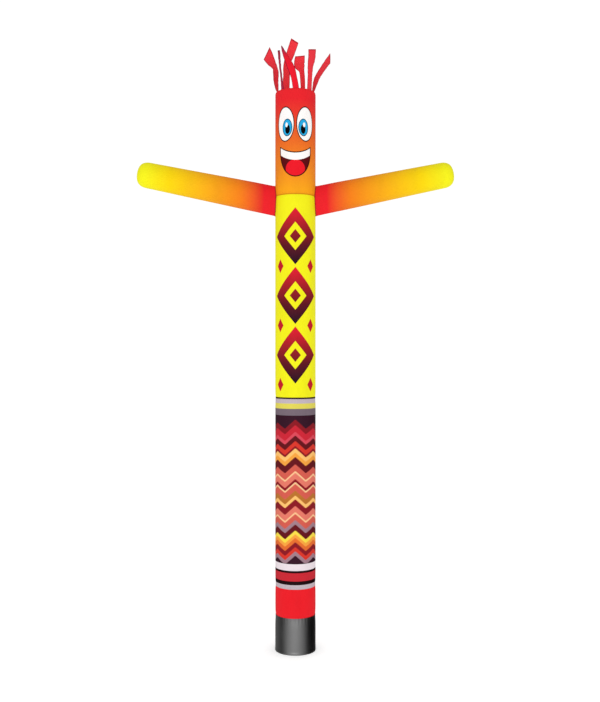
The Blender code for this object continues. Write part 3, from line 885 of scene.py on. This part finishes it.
def paint(color):
    """The paint that looks like this colour, 0 to 255, on the lit front of the cloth."""
    shares = [channel / 255 for channel in color]
    linear = [share / 12.92 if share <= 0.04045 else ((share + 0.055) / 1.055) ** 2.4 for share in shares]
    return (*(max(0.0, channel - SHINE) / LIGHT_GAIN for channel in linear), 1.0)


class Cloth:
    """A cloth material in the making. Its colours are fields, or 0 to 255 as they look in even light."""

    def __init__(self, name):
        self.material = new_material(name)
        self.tree = self.material.node_tree
        self.across, self.along = self.map(CLOTH_MAP)

    def map(self, layer):
        """The two fields of a named map of the cloth."""
        parts = add_node(self.tree, "SeparateXYZ", (add_field(self.tree, "UVMap", uv_map=layer),))
        return [Field(self.tree, parts.outputs[axis]) for axis in "XY"]

    def mix(self, share, under, over):
        """One colour over another."""
        under, over = (color if isinstance(color, Field) else paint(color) for color in (under, over))
        return mix_fields(self.tree, "RGBA", share, under, over)

    def ramp(self, field, stops, interpolation="LINEAR"):
        """A run of colours at places of the field, in the field's own units."""
        low, high = stops[0][0], stops[-1][0]
        node = add_node(self.tree, "ValToRGB", ((field - low) / (high - low),))
        node.color_ramp.interpolation = interpolation
        elements = node.color_ramp.elements
        while len(elements) < len(stops):
            elements.new(0.5)
        for element, (place, color) in zip(elements, stops):
            element.position = (place - low) / (high - low)
            element.color = paint(color)
        return Field(self.tree, node.outputs["Color"])

    def noise(self, scale, detail, stretch=1.0):
        """Uneven values, 0 to 1, in space."""
        place = add_field(self.tree, "TexCoord", output="Object")
        place = add_field(self.tree, "Mapping", {"Vector": place, "Scale": (1.0, 1.0, stretch)})
        return add_field(self.tree, "TexNoise", {"Vector": place, "Scale": scale, "Detail": detail})

    def rib(self, field):
        """1 on the weave's even ribs across the field, and 0 between them."""
        return abs((field / RIB_PITCH).calc("FRACT") - 0.5).ease(0.5 - RIB_WIDTH, 0.5)

    def ellipse(self, across, middle, height, half_width, half_height):
        """1 inside an ellipse on the cloth."""
        x = (across - middle) / half_width
        y = (self.along - height) / half_height
        return x * x + y * y < 1.0

    def finish(self, color, crease=PRINTED_CREASE, roughness=0.62, specular=0.10, ior=1.5):
        """The weave over a printed colour: darker ribs, uneven dye, creases and a dull shine."""
        ribs = self.rib(self.across).calc("MAXIMUM", self.rib(self.along))
        shade = ribs * RIB_SHADE + self.noise(*DYE_NOISE).ease(*DYE_RANGE) * DYE_SHADE
        rubbed = self.noise(*RUB_NOISE).ease(*RUB_RANGE)
        relief = ribs * RIB_RISE + self.noise(*CREASE_NOISE) * crease
        return set_shader(self.material, {
            "Base Color": self.mix(shade, color, FULL_BLACK),
            "Roughness": rubbed.calc("MULTIPLY_ADD", RUB_ROUGHNESS, roughness),
            "Specular IOR Level": specular,
            "IOR": ior,
            "Normal": add_field(self.tree, "Bump", {"Strength": 1.0, "Distance": 1.0, "Height": relief}),
        })


def plain_material(name, color):
    """Plain cloth of one colour."""
    return Cloth(name).finish(color, PLAIN_CREASE)


def sleeve_material():
    """Black coated cloth with a soft shine, a little dusty at its hem."""
    cloth = Cloth("sleeve_black")
    dust = cloth.along.ease(DUST_HEIGHT, 0.0) * cloth.noise(*DUST_NOISE)
    return cloth.finish(cloth.mix(dust * DUST_SHARE, BLACK, DUST), COATED_CREASE,
                        roughness=0.31, specular=1.0, ior=1.9)


def zigzag_field(cloth):
    """Bands of stitched zigzags in flame colours, from the field's top down."""
    across = ((cloth.across / ZIGZAG_STITCH).calc("FLOOR") + 0.5) * ZIGZAG_STITCH
    period = 2 * math.pi * TUBE_RADIUS / ZIGZAGS_ROUND_TUBE
    lift = (across.calc("PINGPONG", period / 2) * (2 * ZIGZAG_RISE / period)
            + across.calc("PINGPONG", period) * (ZIGZAG_TALL_SHARE * ZIGZAG_RISE / period))
    down = FIELD_TOP + ZIGZAG_RISE / 2 - cloth.along - lift
    sizes, colors = zip(*FIELD_BANDS)
    places = np.cumsum([0, *sizes]) / 1000
    return cloth.ramp(down, list(zip(places.tolist(), [*colors, colors[-1]])), "CONSTANT")


def print_material():
    """A zigzag field between plain border bands."""
    cloth = Cloth("zigzag_print")
    color = cloth.ramp(cloth.along, PRINT_BANDS, "CONSTANT")
    inside = (cloth.along > FIELD_LOW) * (cloth.along < FIELD_TOP)
    return cloth.finish(cloth.mix(inside, color, zigzag_field(cloth)))


def torso_material():
    """Yellow cloth with tall lozenges, dark at the foot and red at the top, and small ones between."""
    cloth = Cloth("lozenge_print")
    phase = (cloth.along - LOZENGE_LOW) / LOZENGE_PITCH
    share = phase.calc("FRACT")
    height = abs(share - 0.5) * LOZENGE_PITCH
    width = abs(cloth.across)
    field = width / LOZENGE_HALF_WIDTH + height / LOZENGE_HALF_HEIGHT
    rows = (phase > 0.0) * (phase < LOZENGE_COUNT)
    ink = cloth.ramp(share, LOZENGE_COLORS)
    color = YELLOW
    for edge, filling in ((1.0, ink), (LOZENGE_HOLE, YELLOW), (LOZENGE_HEART, ink)):
        color = cloth.mix((field < edge) * rows, color, filling)
    small = (abs(width - SMALL_LOZENGE_PLACE) / SMALL_LOZENGE_HALF_WIDTH
             + (LOZENGE_PITCH / 2 - height) / SMALL_LOZENGE_HALF_HEIGHT)
    margin = SMALL_LOZENGE_HALF_HEIGHT / LOZENGE_PITCH
    reach = (phase > -margin) * (phase < LOZENGE_COUNT - margin)
    return cloth.finish(cloth.mix((small < 1.0) * reach, color, SMALL_LOZENGE_COLOR))


def smile(cloth):
    """The masks and inks of a half-moon grin: a white band of teeth, a dark inside and a red tongue."""
    lip = cloth.along - cloth.across * cloth.across * MOUTH_CURL - LIP_HEIGHT
    outline, inside = (
        cloth.ellipse(cloth.across, 0.0, MOUTH_MIDDLE, MOUTH_HALF_WIDTH + grow, MOUTH_DROP + grow)
        * (lip < grow) for grow in (MOUTH_LINE, 0.0))
    tongue = inside * cloth.ellipse(cloth.across, *TONGUE)
    teeth = inside * (lip > -TEETH_DROP)
    return (outline, INK), (inside, MOUTH_INSIDE), (tongue, TONGUE_RED), (teeth, WHITE)


def head_material():
    """Red at the top, running to orange, with the printed face."""
    cloth = Cloth("head_print")
    color = cloth.ramp(cloth.along, HEAD_COLORS)
    mirrored = abs(cloth.across)
    eyes = [(cloth.ellipse(mirrored, *place), ink) for *place, ink in EYE_MARKS.values()]
    # Painted shade: a darker band along the head's lower edge, where it laps over the torso.
    edge = (cloth.along < HEAD_LOW + HEAD_EDGE, HEAD_EDGE_SHADE_COLOR)
    for mask, ink in (*eyes, *smile(cloth), edge):
        color = cloth.mix(mask, color, ink)
    return cloth.finish(color)


def arm_material():
    """Red at the root, running through orange to yellow at the tip."""
    cloth = Cloth("arm_print")
    color = cloth.ramp(cloth.along, ARM_COLORS)
    return cloth.finish(cloth.mix(cloth.along < ARM_TAPER_START + ARM_EDGE, color, ARM_EDGE_COLOR))


def hair_material(name, color, edge, tip):
    """Plain cloth with painted shade: darker along its edges and its end, and running to a darker colour at
    its tip if given.
    """
    cloth = Cloth(name)
    share, gone = cloth.map(STRIP_MAP)
    # Painted shade: where a tip colour is given, the strip darkens towards its end.
    if tip is not None:
        color = cloth.mix(gone.ease(1.0 - HAIR_TIP_SHADE_FADE, 1.0), color, tip)
    # Painted shade: a darker band along both long edges of the strip and across its end.
    hem = (abs(share) > 0.5 - HAIR_EDGE_SHADE).calc("MAXIMUM", gone > 1.0 - HAIR_END_SHADE)
    return cloth.finish(cloth.mix(hem, color, edge), PLAIN_CREASE)


def thread_material(name):
    """Twisted polyester thread."""
    cloth = Cloth("thread_" + name)
    color = cloth.mix(cloth.noise(*TWIST_NOISE) * TWIST_SHARE, THREADS[name], THREAD_SHADE)
    return set_shader(cloth.material, {"Base Color": color, "Roughness": THREAD_ROUGHNESS})


# ---------------------------------------------------------------- the dancer

def dress(thing, material, slot, node=None, parent=None):
    """Gives a piece its material and its body, and hides its CAD node. The slot is not used."""
    thing.data.materials.clear()
    thing.data.materials.append(material)
    if parent is None:
        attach(thing, "root")
    else:
        thing.parent = parent
    if node is not None:
        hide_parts(node)
    return thing


def panel(name, node, slot, material, outside, marks, extra=(), inside=None, armholes=False):
    """One panel of the tube, from its node's lowest point to its highest."""
    low, high = (corner.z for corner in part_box(node))
    cloth = tube_cloth(name, low, high, outside, marks, extra, inside)
    if armholes:
        cut_arm_holes(cloth)
    dress(cloth, material, slot, node)
    return cloth


def tube_panels():
    """The sleeve, the panels over it and the crown, and then the panels' thread."""
    sleeve = panel("sleeve", "base_sleeve", "sleeve_cloth", sleeve_material(), sleeve_outside,
                   (SLEEVE_SEAM, 0.0), extra=HEM_ROWS, inside=SLEEVE_INSIDE)
    band = panel("band", "red_band", "band_cloth", plain_material("band_red", RED), tucked_outside,
                 (SLEEVE_SEAM, BAND_SEAM))
    zigzags = panel("zigzags", "print_panel", "print_cloth", print_material(), tube_outside,
                    (BAND_SEAM, PRINT_SEAM))
    torso = panel("torso", "torso_panel", "torso_cloth", torso_material(), tucked_outside,
                  (PRINT_SEAM, HEAD_SEAM, *ARM_ROOT_ENDS), armholes=True)
    shoulder = TUBE_TOP - SHOULDER_HEIGHT * (1.0 - np.sin(np.linspace(0.0, math.pi / 2, SHOULDER_ROWS)))
    head = panel("head", "head_panel", "head_cloth", head_material(), tube_outside,
                 (HEAD_SEAM, TUBE_TOP, *ARM_ROOT_ENDS), extra=shoulder, armholes=True)
    crown = dress(crown_cloth(), plain_material("crown_red", CROWN_RED), "hair_cloth", "crown")

    # Each panel's back rows run between two heights, and its other rows lie at those of the rings.
    sewn = (
        (sleeve, "sleeve", "sleeve_cloth", sleeve_outside, HEM_HEIGHT, SLEEVE_TOP,
         (*seam_pair(SLEEVE_SEAM), HEM_HEIGHT - HEM_STITCH_DROP)),
        (band, "band", "band_cloth", tucked_outside, SLEEVE_TOP, PRINT_LOW, ()),
        (zigzags, "zigzag", "print_cloth", tube_outside, PRINT_LOW, PRINT_TOP,
         (*seam_pair(BAND_SEAM), *seam_pair(PRINT_SEAM))),
        (torso, "torso", "torso_cloth", tucked_outside, PRINT_TOP, HEAD_LOW, ()),
        (head, "head", "head_cloth", tube_outside, HEAD_LOW, TUBE_TOP - BACK_STITCH_END,
         (*seam_pair(HEAD_SEAM), TUBE_TOP - CROWN_STITCH_DROP)),
    )
    for cloth, name, slot, outside, low, high, rings in sewn:
        rows = stitch_rows(name + "_stitches", tube_paths(outside, low, high, rings))
        dress(rows, thread_material(name), slot, parent=cloth)


def arms():
    """Both arms, each with its stitched seams."""
    material = arm_material()
    thread = thread_material("amber")
    for name, sign in ARM_SIGNS.items():
        seed = ARM_SEED + sign
        arm = dress(arm_cloth(name, seed), material, "arm_cloth", name)
        dress(stitch_rows(name + "_stitches", arm_paths(sign, seed)), thread, "arm_cloth", parent=arm)


def hair():
    """The seven streamers."""
    materials = {}
    for name, (color, edge, tip, numbers) in HAIR_CLOTHS.items():
        materials.update(dict.fromkeys(numbers, hair_material(name, color, edge, tip)))
    for number in STREAMER_PLACES:
        strip, flat, area = streamer_cloth(number)
        dress(strip, materials[number], "hair_cloth", f"streamer_{number}")


# ---------------------------------------------------------------- the studio

def floor():
    """A pale floor that runs into the white surround."""
    bpy.ops.mesh.primitive_plane_add(size=FLOOR_SIZE, location=(0.0, 0.0, 0.0))
    plane = bpy.context.object
    plane.name = "studio_floor"
    plane.data.materials.append(set_shader(new_material("floor_white"), FLOOR_LOOK))
    plane.visible_glossy = False


def surround():
    """White light from all round, and the glow that glossy cloth mirrors."""
    world = bpy.data.worlds.new("studio_white")
    bpy.context.scene.world = world
    world.cycles.sampling_method = "NONE"
    world.use_nodes = True
    tree = world.node_tree
    way = add_field(tree, "TexCoord", output="Generated")
    glow = 0.0
    for direction, end, strength in GLOWS:
        towards = add_field(tree, "VectorMath", (way, direction), "Value", operation="DOT_PRODUCT")
        glow = add_field(tree, "MapRange", (towards, end, 1.0)).calc("MULTIPLY_ADD", strength, glow)
    path = add_node(tree, "LightPath").outputs
    white = mix_fields(tree, "FLOAT", path["Is Camera Ray"], SURROUND, BACKDROP)
    background = tree.nodes["Background"].inputs
    put(tree, background["Strength"], mix_fields(tree, "FLOAT", path["Is Glossy Ray"], white, glow))
    put(tree, background["Color"], (1.0, 1.0, 1.0, 1.0))


def softboxes():
    """A large soft key close to the camera, a little to its left, and a weaker one at the back right."""
    for name, place, size, radiance in SOFTBOXES:
        light = bpy.data.lights.new(name, "AREA")
        light.shape = "RECTANGLE"
        light.size, light.size_y = size
        light.energy = radiance * math.pi * size[0] * size[1]
        lamp = new_object(name, light)
        lamp.location = place
        lamp.rotation_euler = (SOFTBOX_AIM - Vector(place)).to_track_quat("-Z", "Y").to_euler()


def camera():
    """The photograph's view: level, from the front."""
    data = bpy.data.cameras.new("view")
    data.lens = CAMERA_LENS
    data.sensor_width = CAMERA_SENSOR
    seer = new_object("view", data)
    seer.location = CAMERA_PLACE
    seer.rotation_euler = (math.radians(90), 0.0, 0.0)
    bpy.context.scene.camera = seer


camera()
surround()
softboxes()
floor()
tube_panels()
arms()
hair()

view = bpy.context.scene.view_settings
view.view_transform = "Standard"
view.look = "None"
